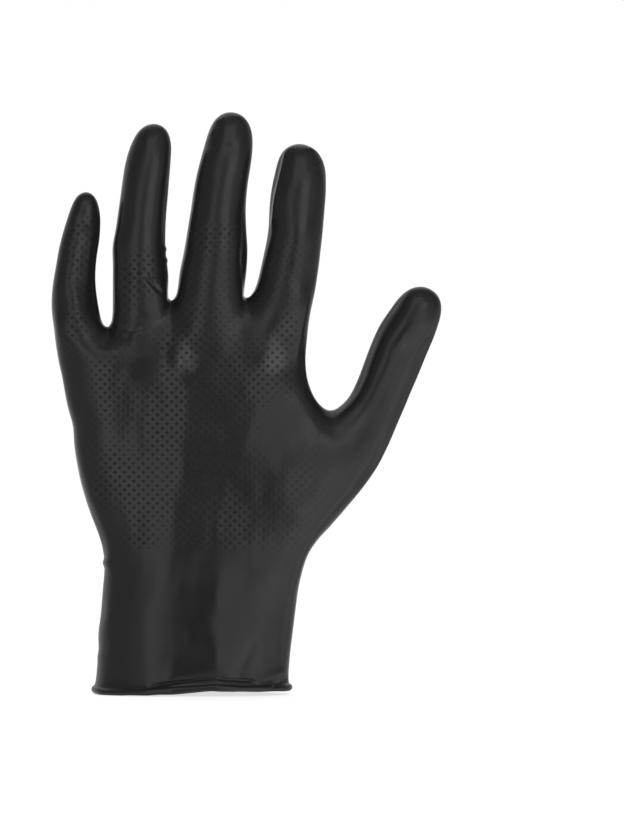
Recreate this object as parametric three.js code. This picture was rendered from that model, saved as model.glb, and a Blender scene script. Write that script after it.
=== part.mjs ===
// A thin dipped glove for a left hand, in the shape that it has when it is worn.
// Millimetres. Fingers point up +Z, the back of the hand faces -Y, the thumb is towards +X.
// The origin is the middle of the open cuff, level with its lower edge.
// The film is one closed wall: a smooth skin through the sections below, a second skin inside it,
// and the rolled bead that joins the two round the open cuff.
import * as THREE from "three";

// Driving sizes
const WALL = 1;
const BEAD_DIAMETER = 3;
const CUFF_WIDTH = 80;
const CUFF_DEPTH = 40;
const CUFF_LENGTH = 58;
const PALM_WIDTH = 104;
const PALM_DEPTH = 32;
const PALM_LENGTH = 105;
const PALM_LEAN = 4; // how far the middle of the palm lies from the middle of the cuff, away from the thumb
const WEB_WIDTH = 3.5; // flat strip between two finger roots
const THUMB_LENGTH = 51; // from the web to the tip, upwards
const THUMB_REACH = 50; // from the side of the palm to the tip, sideways
const THUMB_WIDTH = 22;
const THUMB_DEPTH = 20;
// Each finger's length is from the middle of its root to its tip.
const LITTLE_LENGTH = 55.5;
const LITTLE_WIDTH = 16.5;
const RING_LENGTH = 78.5;
const RING_WIDTH = 20.5;
const MIDDLE_LENGTH = 77.5;
const MIDDLE_WIDTH = 22;
const INDEX_LENGTH = 65.5;
const INDEX_WIDTH = 22;
const FINGER_ROUNDNESS = 0.88; // depth of a finger as a share of its width
const SKIN_COLOUR = 0x2e2e30;

// How square the sections of the cuff and palm are: 2 is an ellipse, more is squarer.
const SECTION_SQUARENESS = 2.35;

// Cuff sections. up: share of the cuff's length. left, right: shares of half its width. depth: of its depth.
const CUFF_ROWS = [
  { up: 0, left: 0.99, right: 0.99, depth: 1.0 },
  { up: 0.35, left: 0.96, right: 1.03, depth: 0.97 },
  { up: 0.67, left: 0.925, right: 1.09, depth: 0.94 },
];

// Where the web of the thumb meets the palm, as a share of the palm's length
const THUMB_WEB = 0.6;

// Palm sections. up: share of the palm's length. left, right: shares of half its width, from its own middle.
// depth: share of the palm's depth. full: how far the side towards the thumb stays thick, 0 for a round side.
// The rows with thumb: true carry the root of the thumb.
const PALM_ROWS = [
  { up: 0, left: 0.62, right: 1.0, depth: 1.12, full: 0.04, thumb: false },
  { up: 0.18, left: 0.75, right: 0.97, depth: 1.08, full: 0.32, thumb: true },
  { up: 0.37, left: 0.84, right: 0.96, depth: 1.04, full: 0.34, thumb: true },
  { up: THUMB_WEB, left: 0.92, right: 1.05, depth: 1.0, full: 0.1, thumb: false },
  { up: 0.76, left: 0.985, right: 0.97, depth: 0.94, full: 0, thumb: false },
];

// The places where the fingers part, from the little finger's outer side to the index finger's.
// across: share of half the palm's width. up: share of its length.
const FINGER_PARTINGS = [
  { across: -1.02, up: 0.88 },
  { across: -0.6, up: 0.89 },
  { across: -0.085, up: 0.99 },
  { across: 0.515, up: 1.0 },
  { across: 1.03, up: 0.965 },
];

// root: the depth of a finger's root as a share of the palm's depth.
// A row of its sections gives: up, the share of its length; shift, the middle's place sideways from the middle
// of the root, and width, both as shares of its width; forward, its bend towards the palm, a share of its length.
const FINGERS = [
  {
    name: "little",
    width: LITTLE_WIDTH,
    length: LITTLE_LENGTH,
    root: 0.62,
    rows: [
      { up: 0.13, shift: -0.09, width: 1.18, forward: 0.01 },
      { up: 0.29, shift: -0.14, width: 1.08, forward: 0.025 },
      { up: 0.47, shift: -0.1, width: 0.97, forward: 0.05 },
      { up: 0.65, shift: 0.0, width: 0.96, forward: 0.08 },
      { up: 0.81, shift: 0.1, width: 0.83, forward: 0.12 },
      { up: 0.94, shift: 0.14, width: 0.56, forward: 0.15 },
      { up: 1.0, shift: 0.15, width: 0, forward: 0.165 },
    ],
  },
  {
    name: "ring",
    width: RING_WIDTH,
    length: RING_LENGTH,
    root: 0.72,
    rows: [
      { up: 0.13, shift: 0.03, width: 1.13, forward: 0.0 },
      { up: 0.29, shift: -0.01, width: 1.07, forward: 0.01 },
      { up: 0.47, shift: 0.03, width: 1.03, forward: 0.03 },
      { up: 0.65, shift: 0.1, width: 0.97, forward: 0.055 },
      { up: 0.82, shift: 0.18, width: 0.91, forward: 0.085 },
      { up: 0.945, shift: 0.24, width: 0.68, forward: 0.11 },
      { up: 1.0, shift: 0.26, width: 0, forward: 0.125 },
    ],
  },
  {
    name: "middle",
    width: MIDDLE_WIDTH,
    length: MIDDLE_LENGTH,
    root: 0.78,
    rows: [
      { up: 0.13, shift: 0.07, width: 1.27, forward: 0.0 },
      { up: 0.29, shift: 0.13, width: 1.18, forward: 0.01 },
      { up: 0.47, shift: 0.16, width: 1.04, forward: 0.025 },
      { up: 0.65, shift: 0.25, width: 1.0, forward: 0.05 },
      { up: 0.82, shift: 0.36, width: 0.92, forward: 0.08 },
      { up: 0.945, shift: 0.4, width: 0.68, forward: 0.105 },
      { up: 1.0, shift: 0.4, width: 0, forward: 0.115 },
    ],
  },
  {
    name: "index",
    width: INDEX_WIDTH,
    length: INDEX_LENGTH,
    root: 0.74,
    rows: [
      { up: 0.13, shift: 0.11, width: 1.09, forward: 0.0 },
      { up: 0.29, shift: 0.2, width: 1.05, forward: 0.01 },
      { up: 0.47, shift: 0.28, width: 1.02, forward: 0.03 },
      { up: 0.65, shift: 0.33, width: 1.03, forward: 0.055 },
      { up: 0.82, shift: 0.37, width: 0.96, forward: 0.085 },
      { up: 0.945, shift: 0.36, width: 0.68, forward: 0.11 },
      { up: 1.0, shift: 0.36, width: 0, forward: 0.125 },
    ],
  },
];

// Thumb sections, from its root at the side of the palm to its tip. out: the middle's place as a share of the
// thumb's reach. up: from the web, as a share of the thumb's length. turn: degrees that the section's width is
// turned down from level. width, depth: shares of the thumb's. forward: towards the palm side, of its depth.
const THUMB_ROWS = [
  { out: 0.19, up: -0.55, turn: 88, width: 2.14, depth: 1.52, forward: 0.12 },
  { out: 0.37, up: -0.375, turn: 73, width: 1.56, depth: 1.4, forward: 0.22 },
  { out: 0.505, up: -0.18, turn: 60, width: 1.27, depth: 1.24, forward: 0.32 },
  { out: 0.64, up: 0.13, turn: 39, width: 1.06, depth: 1.1, forward: 0.42 },
  { out: 0.765, up: 0.435, turn: 23, width: 1.05, depth: 1.04, forward: 0.5 },
  { out: 0.895, up: 0.685, turn: 20, width: 0.94, depth: 0.9, forward: 0.52 },
  { out: 0.965, up: 0.835, turn: 20, width: 0.68, depth: 0.66, forward: 0.52 },
  { out: 1.0, up: 0.915, turn: 20, width: 0, depth: 0, forward: 0.52 },
];

// Soft rises and hollows of the hand under the film. across: share of half the palm's width. up: share of the
// palm's length. side: -1 on the back, 1 on the palm. spread: radius as a share of the palm's width.
// height: share of the palm's depth, below zero for a hollow.
const SWELLINGS = [
  { across: -0.78, up: 0.83, side: -1, spread: 0.09, height: 0.04 },
  { across: -0.32, up: 0.87, side: -1, spread: 0.1, height: 0.06 },
  { across: 0.2, up: 0.9, side: -1, spread: 0.11, height: 0.07 },
  { across: 0.72, up: 0.85, side: -1, spread: 0.11, height: 0.06 },
  { across: 0.85, up: 0.28, side: -1, spread: 0.2, height: 0.05 },
  { across: 0.62, up: 0.28, side: 1, spread: 0.26, height: 0.2 },
  { across: -0.55, up: 0.3, side: 1, spread: 0.24, height: 0.12 },
  { across: 0.0, up: 0.5, side: 1, spread: 0.22, height: -0.16 },
  { across: 0.0, up: 0.85, side: 1, spread: 0.3, height: 0.06 },
];

// Numbers of points on the back and on the palm side of a section
const PALM_POINTS = 12;
const FINGER_POINTS = 3;
const THUMB_POINTS = 4;

// How far the skin on the back and on the palm side drops below a web, in shares of the web's width
const BACK_DROP = 2.2;
const PALM_DROP = 1.6;
// How square the roots are: their points spread further sideways and stay thicker than an ellipse's.
const ROOT_SPREAD = 1.15;
const ROOT_FULLNESS = 0.6;
const FITTING_ROUNDS = 14;
const BEAD_ANGLES = [55, 5, -45, -95, -180];

const DEGREE = Math.PI / 180;
const palmMiddle = -PALM_LEAN;
const halfPalm = PALM_WIDTH / 2;
const palmHeight = (up) => CUFF_LENGTH + PALM_LENGTH * up;
const mix = (a, b, share) => a + (b - a) * share;
const average = (points) =>
  points.reduce((sum, point) => sum.add(point), new THREE.Vector3()).divideScalar(points.length);

// The cage: places that the skin has to pass through, and four-sided faces between them.
const places = [];
const faces = [];

function addPlace(x, y, z) {
  places.push(new THREE.Vector3(x, y, z));
  return places.length - 1;
}

// A ring goes round a section: across the back, its end, back along the palm side, its start.
const ringOrder = (ring) => [...ring.back, ring.end, ...[...ring.palm].reverse(), ring.start];

function joinRings(lower, upper) {
  const a = ringOrder(lower);
  const b = ringOrder(upper);
  for (let i = 0; i < a.length; i++) {
    const next = (i + 1) % a.length;
    const face = [a[i], a[next], b[next], b[i]];
    if (!face.includes(null)) {
      faces.push(face);
    }
  }
}

// A ring of an elliptic section about a middle, with a half width vector and a half depth along Y.
function ellipseRing(middle, halfWidth, halfDepth, count) {
  const at = (angle) =>
    addPlace(
      middle.x + halfWidth.x * Math.cos(angle),
      middle.y - halfDepth * Math.sin(angle),
      middle.z + halfWidth.z * Math.cos(angle),
    );
  const ring = { back: [], palm: [], start: at(Math.PI), end: at(0) };
  for (let i = 0; i < count; i++) {
    const angle = Math.PI * (1 - (i + 1) / (count + 1));
    ring.back.push(at(angle));
    ring.palm.push(at(-angle));
  }
  return ring;
}

// Closes a ring with a row of places between its back and its palm side, bowed up to the tip.
function closeTip(ring, tip) {
  const count = ring.back.length;
  const middle = [ring.start];
  const rise = tip.clone().sub(average([places[ring.start], places[ring.end]]));
  for (let i = 1; i < count - 1; i++) {
    const share = i / (count - 1);
    const along = new THREE.Vector3().lerpVectors(places[ring.start], places[ring.end], share);
    along.addScaledVector(rise, 1 - (2 * share - 1) ** 2);
    middle.push(addPlace(along.x, along.y, along.z));
  }
  middle.push(ring.end);
  for (let i = 0; i + 1 < count; i++) {
    faces.push([ring.back[i], ring.back[i + 1], middle[i + 1], middle[i]]);
    faces.push([middle[i], middle[i + 1], ring.palm[i + 1], ring.palm[i]]);
  }
}

// The finger roots: three places on the back and the palm side of each finger, and one on each side of a web.
function fingerRoots() {
  return FINGERS.map((finger, number) => {
    const [from, to] = [FINGER_PARTINGS[number], FINGER_PARTINGS[number + 1]];
    const fromWeb = number === 0 ? 0 : WEB_WIDTH;
    const toWeb = number === FINGERS.length - 1 ? 0 : WEB_WIDTH;
    const left = palmMiddle + halfPalm * from.across + fromWeb / 2;
    const right = palmMiddle + halfPalm * to.across - toWeb / 2;
    const fromHeight = palmHeight(from.up);
    const toHeight = palmHeight(to.up);
    const ring = { back: [], palm: [], left, right, fromHeight, toHeight };
    ring.start = addPlace(left, 0, fromHeight);
    ring.end = addPlace(right, 0, toHeight);
    for (let i = 0; i < FINGER_POINTS; i++) {
      const angle = Math.PI * (1 - (i + 1) / (FINGER_POINTS + 1));
      const share = (1 + Math.cos(angle) * ROOT_SPREAD) / 2;
      const x = mix(left, right, share);
      const height = mix(fromHeight, toHeight, share);
      const depth = ((PALM_DEPTH * finger.root) / 2) * Math.sin(angle) ** ROOT_FULLNESS;
      const web = mix(fromWeb, toWeb, share);
      ring.back.push(addPlace(x, -depth, height - web * BACK_DROP));
      ring.palm.push(addPlace(x, depth, height - web * PALM_DROP));
    }
    return ring;
  });
}

function buildFinger(finger, root) {
  const rootMiddle = (root.left + root.right) / 2;
  const rootHeight = (root.fromHeight + root.toHeight) / 2;
  const tilt = (root.toHeight - root.fromHeight) / 2;
  let below = root;
  finger.rows.forEach((row) => {
    const middle = new THREE.Vector3(
      rootMiddle + finger.width * row.shift,
      finger.length * row.forward,
      rootHeight + finger.length * row.up,
    );
    if (row.width === 0) {
      closeTip(below, middle);
      return;
    }
    const halfWidth = (finger.width * row.width) / 2;
    const across = new THREE.Vector3(halfWidth, 0, tilt * (1 - row.up));
    const ring = ellipseRing(middle, across, halfWidth * FINGER_ROUNDNESS, FINGER_POINTS);
    joinRings(below, ring);
    below = ring;
  });
}

function buildThumb(root) {
  const side = palmMiddle + halfPalm;
  const web = palmHeight(THUMB_WEB);
  let below = root;
  THUMB_ROWS.forEach((row) => {
    const middle = new THREE.Vector3(
      side + THUMB_REACH * row.out,
      THUMB_DEPTH * row.forward,
      web + THUMB_LENGTH * row.up,
    );
    if (row.width === 0) {
      closeTip(below, middle);
      return;
    }
    const halfWidth = (THUMB_WIDTH * row.width) / 2;
    const turn = row.turn * DEGREE;
    const across = new THREE.Vector3(halfWidth * Math.cos(turn), 0, -halfWidth * Math.sin(turn));
    const ring = ellipseRing(middle, across, (THUMB_DEPTH * row.depth) / 2, THUMB_POINTS);
    joinRings(below, ring);
    below = ring;
  });
}

// A section of the cuff or palm between two sides. Its points lean from an even spread round the section at the
// cuff to the columns of the finger roots at the knuckles, and full keeps the side towards the thumb thick.
function bodyRing({ left, right, depth, z, columns, lean, full, hasEnd }) {
  const across = (share) => mix(left, right, (share + 1) / 2);
  const ring = {
    back: [],
    palm: [],
    start: addPlace(left, 0, z),
    end: hasEnd ? addPlace(right, 0, z) : null,
  };
  for (let i = 0; i < PALM_POINTS; i++) {
    const even = -Math.cos((Math.PI * (i + 1)) / (PALM_POINTS + 1));
    const share = mix(even, columns[i], lean);
    const turned = share > 0 ? share * (1 - full) : -share;
    const bow = (1 - turned ** SECTION_SQUARENESS) ** (1 / SECTION_SQUARENESS);
    ring.back.push(addPlace(across(share), (-depth * bow) / 2, z));
    ring.palm.push(addPlace(across(share), (depth * bow) / 2, z));
  }
  return ring;
}

function buildCage() {
  const roots = fingerRoots();
  const rootRing = {
    back: roots.flatMap((root) => root.back),
    palm: roots.flatMap((root) => root.palm),
    start: roots[0].start,
    end: roots[roots.length - 1].end,
  };
  const rootLeft = places[rootRing.start].x;
  const rootRight = places[rootRing.end].x;
  const columns = rootRing.back.map(
    (index) => (2 * (places[index].x - rootLeft)) / (rootRight - rootLeft) - 1,
  );
  const rings = [];
  CUFF_ROWS.forEach((row) => {
    const section = {
      left: (-CUFF_WIDTH / 2) * row.left,
      right: (CUFF_WIDTH / 2) * row.right,
      depth: CUFF_DEPTH * row.depth,
      z: mix(BEAD_DIAMETER, CUFF_LENGTH, row.up),
    };
    rings.push(bodyRing({ ...section, columns, lean: 0, full: 0, hasEnd: true }));
  });
  PALM_ROWS.forEach((row) => {
    const section = {
      left: palmMiddle - halfPalm * row.left,
      right: palmMiddle + halfPalm * row.right,
      depth: PALM_DEPTH * row.depth,
      z: palmHeight(row.up),
    };
    rings.push(bodyRing({ ...section, columns, lean: row.up, full: row.full, hasEnd: !row.thumb }));
  });
  rings.push(rootRing);
  for (let i = 0; i + 1 < rings.length; i++) {
    joinRings(rings[i], rings[i + 1]);
  }
  for (let i = 0; i + 1 < roots.length; i++) {
    const [a, b] = [roots[i], roots[i + 1]];
    const [backEnd, palmEnd] = [a.back[FINGER_POINTS - 1], a.palm[FINGER_POINTS - 1]];
    faces.push([backEnd, b.back[0], b.start, a.end]);
    faces.push([a.end, b.start, b.palm[0], palmEnd]);
  }
  FINGERS.forEach((finger, i) => buildFinger(finger, roots[i]));
  // The thumb's root spans the side of the first palm sections.
  const first = CUFF_ROWS.length;
  const thumbRings = rings.slice(first, first + THUMB_POINTS).reverse();
  buildThumb({
    back: thumbRings.map((ring) => ring.back[PALM_POINTS - 1]),
    palm: thumbRings.map((ring) => ring.palm[PALM_POINTS - 1]),
    start: thumbRings[0].end,
    end: thumbRings[THUMB_POINTS - 1].end,
  });
  return ringOrder(rings[0]);
}

// The faces and edges of the cage, listed once.
function edgeTable() {
  const edges = new Map();
  faces.forEach((face, number) => {
    face.forEach((a, i) => {
      const b = face[(i + 1) % face.length];
      const key = a < b ? a + " " + b : b + " " + a;
      if (!edges.has(key)) {
        edges.set(key, { ends: [a, b], faces: [] });
      }
      edges.get(key).faces.push(number);
    });
  });
  return edges;
}

// Where the smooth skin puts each point of the cage: the Catmull and Clark rule, with an open edge kept.
function smoothPlaces(points, edges) {
  const middles = faces.map((face) => average(face.map((index) => points[index])));
  const around = points.map(() => ({ faces: [], edges: [], rim: [] }));
  faces.forEach((face, number) => face.forEach((index) => around[index].faces.push(middles[number])));
  edges.forEach((edge) => {
    const [a, b] = edge.ends;
    const half = new THREE.Vector3().addVectors(points[a], points[b]).multiplyScalar(0.5);
    edge.middle = half;
    const list = edge.faces.length === 1 ? "rim" : "edges";
    around[a][list].push(half);
    around[b][list].push(half);
  });
  const moved = points.map((point, index) => {
    const near = around[index];
    if (near.rim.length > 0) {
      return average([point, average(near.rim)]);
    }
    const valence = near.faces.length;
    return average(near.faces)
      .addScaledVector(average(near.edges), 2)
      .addScaledVector(point, valence - 3)
      .divideScalar(valence);
  });
  return { moved, middles };
}

// Moves the cage until its smooth skin passes through the places of the sections.
function fitCage(edges) {
  const points = places.map((place) => place.clone());
  for (let round = 0; round < FITTING_ROUNDS; round++) {
    const { moved } = smoothPlaces(points, edges);
    points.forEach((point, i) => point.add(places[i]).sub(moved[i]));
  }
  return points;
}

// One round of smoothing that splits each face in four.
function splitCage(points, edges) {
  const { moved, middles } = smoothPlaces(points, edges);
  const skin = { points: [...moved, ...middles], faces: [], edgeIndex: new Map() };
  edges.forEach((edge, key) => {
    const [first, second] = edge.faces;
    const place =
      second === undefined
        ? edge.middle.clone()
        : average([edge.middle, average([middles[first], middles[second]])]);
    skin.edgeIndex.set(key, skin.points.length);
    skin.points.push(place);
  });
  const between = (a, b) => skin.edgeIndex.get(a < b ? a + " " + b : b + " " + a);
  faces.forEach((face, number) => {
    const centre = points.length + number;
    face.forEach((corner, i) => {
      const next = face[(i + 1) % face.length];
      const last = face[(i + face.length - 1) % face.length];
      skin.faces.push([corner, between(corner, next), centre, between(last, corner)]);
    });
  });
  skin.rimOf = (ring) => ring.flatMap((a, i) => [a, between(a, ring[(i + 1) % ring.length])]);
  return skin;
}

function skinNormals(skin) {
  const normals = skin.points.map(() => new THREE.Vector3());
  skin.faces.forEach((face) => {
    const [a, b, c, d] = face.map((index) => skin.points[index]);
    const normal = new THREE.Vector3()
      .subVectors(c, a)
      .cross(new THREE.Vector3().subVectors(d, b));
    face.forEach((index) => normals[index].add(normal));
  });
  return normals.map((normal) => normal.normalize());
}

function swell(skin) {
  const normals = skinNormals(skin);
  skin.points.forEach((point, i) => {
    SWELLINGS.forEach((rise) => {
      const dx = point.x - (palmMiddle + halfPalm * rise.across);
      const dz = point.z - palmHeight(rise.up);
      const spread = PALM_WIDTH * rise.spread;
      const facing = Math.max(0, normals[i].y * rise.side);
      const height = PALM_DEPTH * rise.height * Math.exp(-(dx * dx + dz * dz) / (spread * spread));
      point.addScaledVector(normals[i], height * facing);
    });
  });
}

// The closed wall: the outer skin, the inner skin turned round, and the bead between their lower rims.
function closeWall(skin, rim) {
  const normals = skinNormals(skin);
  rim.forEach((index) => normals[index].setZ(0).normalize());
  const count = skin.points.length;
  const points = skin.points.map((point) => point.clone());
  skin.points.forEach((point, i) => points.push(point.clone().addScaledVector(normals[i], -WALL)));
  const quads = [...skin.faces, ...skin.faces.map((face) => face.map((index) => index + count).reverse())];
  const radius = BEAD_DIAMETER / 2;
  let above = rim;
  const beadRows = BEAD_ANGLES.map((angle) =>
    rim.map((index) => {
      const out = radius - WALL + radius * Math.cos(angle * DEGREE);
      const place = skin.points[index].clone().addScaledVector(normals[index], out);
      place.z = radius + radius * Math.sin(angle * DEGREE);
      points.push(place);
      return points.length - 1;
    }),
  );
  beadRows.push(rim.map((index) => index + count));
  beadRows.forEach((row) => {
    row.forEach((index, i) => {
      const next = (i + 1) % row.length;
      quads.push([above[next], above[i], index, row[next]]);
    });
    above = row;
  });
  return { points, quads };
}

function wallGeometry({ points, quads }) {
  const geometry = new THREE.BufferGeometry();
  const positions = points.flatMap((point) => point.toArray());
  geometry.setAttribute("position", new THREE.Float32BufferAttribute(positions, 3));
  geometry.setIndex(quads.flatMap(([a, b, c, d]) => [a, b, c, a, c, d]));
  geometry.computeVertexNormals();
  return geometry;
}

const cuffRing = buildCage();
const edges = edgeTable();
const skin = splitCage(fitCage(edges), edges);
swell(skin);

const shell = new THREE.Mesh(
  wallGeometry(closeWall(skin, skin.rimOf(cuffRing))),
  new THREE.MeshStandardMaterial({ color: SKIN_COLOUR, roughness: 0.45, metalness: 0 }),
);
shell.name = "glove_shell";

const glove = new THREE.Group();
glove.add(shell);

export default glove;
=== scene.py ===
"""A left-handed black nitrile glove, in the shape that it has when it is worn.

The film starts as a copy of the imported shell. It is rounded, given the knuckles, turns, creases and ripples
of a filled glove, and then the fine diamond grip of its back and palm. Lengths in the tables are
millimetres: x runs from the little finger to the thumb and z from the cuff to the fingertips.
"""
import math

import bmesh
import bpy
import numpy as np
from bpy.props import FloatProperty, FloatVectorProperty, IntProperty, PointerProperty
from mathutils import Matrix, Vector, noise


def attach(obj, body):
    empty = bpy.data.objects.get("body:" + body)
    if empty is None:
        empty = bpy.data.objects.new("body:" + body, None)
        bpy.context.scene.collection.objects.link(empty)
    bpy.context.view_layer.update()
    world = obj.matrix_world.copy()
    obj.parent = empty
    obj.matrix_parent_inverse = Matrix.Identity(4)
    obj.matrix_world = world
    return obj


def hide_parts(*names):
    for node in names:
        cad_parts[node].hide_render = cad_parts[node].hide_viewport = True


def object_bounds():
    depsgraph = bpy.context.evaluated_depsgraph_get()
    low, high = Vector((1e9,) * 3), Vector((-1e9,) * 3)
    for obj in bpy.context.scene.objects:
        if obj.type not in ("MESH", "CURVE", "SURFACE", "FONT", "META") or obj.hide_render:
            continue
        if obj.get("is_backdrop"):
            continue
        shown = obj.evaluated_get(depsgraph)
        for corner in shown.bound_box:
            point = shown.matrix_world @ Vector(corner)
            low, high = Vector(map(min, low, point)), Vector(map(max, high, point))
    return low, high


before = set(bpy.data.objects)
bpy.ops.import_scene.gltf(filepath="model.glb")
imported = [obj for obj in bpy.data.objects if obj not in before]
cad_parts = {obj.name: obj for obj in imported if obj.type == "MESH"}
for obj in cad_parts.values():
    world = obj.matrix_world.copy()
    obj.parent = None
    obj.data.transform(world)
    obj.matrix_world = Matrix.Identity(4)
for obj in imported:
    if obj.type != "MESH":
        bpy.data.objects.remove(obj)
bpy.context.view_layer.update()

bl_info = {
    "name": "Worn nitrile glove",
    "version": (1, 0, 0),
    "blender": (4, 5, 0),
    "location": "3D View > Sidebar > Glove",
    "description": "Makes the film of a worn glove with its grip, creases and rolled bead, and a stage",
    "category": "Object",
}

SHELL = "glove_shell"
MM = 0.001

SIDES = {"back": (0, -1, 0), "palm": (0, 1, 0), "left": (-1, 0, 0), "right": (1, 0, 0), "tip": (0, 0, 1)}

# A vertex belongs to a side as its normal leans to it: not at all at the first value, fully at the second.
SIDE_LEAN = (0.05, 0.45)

# The bead's upper edge, just under the height where the outer skin and the lining begin.
BEAD_TOP = 2.99

# The lining's rounds of smooth subdivision. Its larger faces follow a crease only when it is at least this
# wide.
LINING_SMOOTHING = 1
LINING_CREASE = 3.5

# The grip starts at this height, above the plain cuff, and fades in from a little below it to above it.
GRIP_BOTTOM = 57.5
GRIP_FADE_BELOW = 1
GRIP_FADE_ABOVE = 5

# Where the grip ends on each finger: the height that it reaches, after it has faded over the tip fade, and
# the span of the finger across.
GRIP_TIP_FADE = 9
GRIP_TOPS = (
    {"finger": "little, outer side", "left": -60, "right": -51, "top": 152},
    {"finger": "little", "left": -51, "right": -36.5, "top": 202},
    {"finger": "ring", "left": -36.5, "right": -7.5, "top": 187},
    {"finger": "middle", "left": -7.5, "right": 24.5, "top": 198},
    {"finger": "index", "left": 24.5, "right": 60, "top": 192},
)

# On the thumb's side the grip ends here, after it has faded over this width.
GRIP_THUMB_SIDE = 60
GRIP_THUMB_FADE = 22

# The grip is on faces that lean this far to the back or the palm.
GRIP_LEAN = (0.6, 0.92)

# Smooth patches inside the grip, where the film lies over a web or beside a knuckle, and how much of the
# grip they take away.
PATCH_SMOOTHNESS = 0.85
SMOOTH_PATCHES = (
    {"name": "ring and middle web", "x": -14, "z": 155, "across": 9, "along": 9},
    {"name": "middle and index web", "x": 27, "z": 155, "across": 9, "along": 9},
    {"name": "little and ring web", "x": -38, "z": 144, "across": 8, "along": 8},
    {"name": "edge below the little finger", "x": -47, "z": 108, "across": 9, "along": 32},
    {"name": "wrist, little finger side", "x": -36, "z": 66, "across": 11, "along": 14},
    {"name": "below the index knuckle", "x": 38, "z": 106, "across": 13, "along": 20},
    {"name": "between the knuckles", "x": -22, "z": 136, "across": 9, "along": 12},
)

# The wall of a pit, as values of the grip's lattice, which is 1 in the middle of a pit.
PIT_SLOPE = (-0.3, 0.8)

# The film is divided finely where it carries more than this share of the grip.
FINE_GRIP_BACK = 0.02
FINE_GRIP_PALM = 0.05

# Places where a knuckle stretches the film, which makes it paler, and where a painted highlight is laid on
# the knuckle.
STRETCH_HIGHLIGHTS = (
    {"name": "middle knuckle", "x": -3.6, "z": 139.5, "across": 3, "along": 7},
    {"name": "index knuckle", "x": 34.2, "z": 139, "across": 4.6, "along": 7.5},
)

# Broad forms of the filled glove. Those of the side tip lift the film straight up.
MOUNDS = (
    {"name": "middle knuckle", "side": "back",
     "x": -4, "z": 138, "across": 4.5, "along": 5.5, "height": 1.8},
    {"name": "index knuckle", "side": "back",
     "x": 34.5, "z": 140, "across": 7, "along": 6, "height": 1.4},
    {"name": "ring knuckle", "side": "back",
     "x": -27, "z": 136, "across": 9, "along": 11, "height": 0.7},
    {"name": "little knuckle", "side": "back",
     "x": -45, "z": 130, "across": 7, "along": 9, "height": 0.6},
    {"name": "index middle joint", "side": "back",
     "x": 46, "z": 190, "across": 6, "along": 7, "height": 0.7},
    {"name": "wrist hollow", "side": "back",
     "x": 2, "z": 62, "across": 16, "along": 14, "height": -0.7},
    {"name": "little and ring web", "side": "back",
     "x": -34.5, "z": 149, "across": 6, "along": 7, "height": 1.0},
    {"name": "ring and middle web", "side": "back",
     "x": -9.5, "z": 159, "across": 6, "along": 7, "height": 1.0},
    {"name": "middle and index web", "side": "back",
     "x": 22.5, "z": 160, "across": 6, "along": 7, "height": 1.0},
    {"name": "little and ring crotch", "side": "tip",
     "x": -34.5, "z": 152, "across": 5, "along": 5, "height": 0.8},
    {"name": "ring and middle crotch", "side": "tip",
     "x": -9, "z": 162, "across": 5, "along": 5, "height": 1.2},
    {"name": "middle and index crotch", "side": "tip",
     "x": 22.5, "z": 163, "across": 5, "along": 5, "height": 1.2},
    {"name": "palm edge dent", "side": "left",
     "x": -49.5, "z": 110, "across": 6, "along": 6, "height": -0.9},
    {"name": "ring joint, outer side", "side": "left",
     "x": -32.5, "z": 184, "across": 5, "along": 6, "height": 0.7},
    {"name": "little fingertip", "side": "tip",
     "x": -44, "z": 206, "across": 9, "along": 6, "height": 1.0},
    {"name": "ring fingertip", "side": "tip",
     "x": -17, "z": 234, "across": 11, "along": 6, "height": 0.8},
    {"name": "middle fingertip", "side": "tip",
     "x": 15.5, "z": 239, "across": 11, "along": 6, "height": 0.8},
    {"name": "index fingertip", "side": "tip",
     "x": 43, "z": 225, "across": 10, "along": 6, "height": 0.8},
)

# Small bends of the fingers: how far the film moves across around each place.
BENDS = (
    {"name": "little finger", "x": -46, "z": 180, "across": 12, "along": 20, "shift": 0.8},
    {"name": "index finger", "x": 43, "z": 203, "across": 13, "along": 12, "shift": -0.9},
    {"name": "ring fingertip", "x": -17, "z": 228, "across": 12, "along": 9, "shift": 0.3},
)

# The rounding draws the film in by about this much, so it is brought out again.
FULLNESS = 0.22

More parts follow.
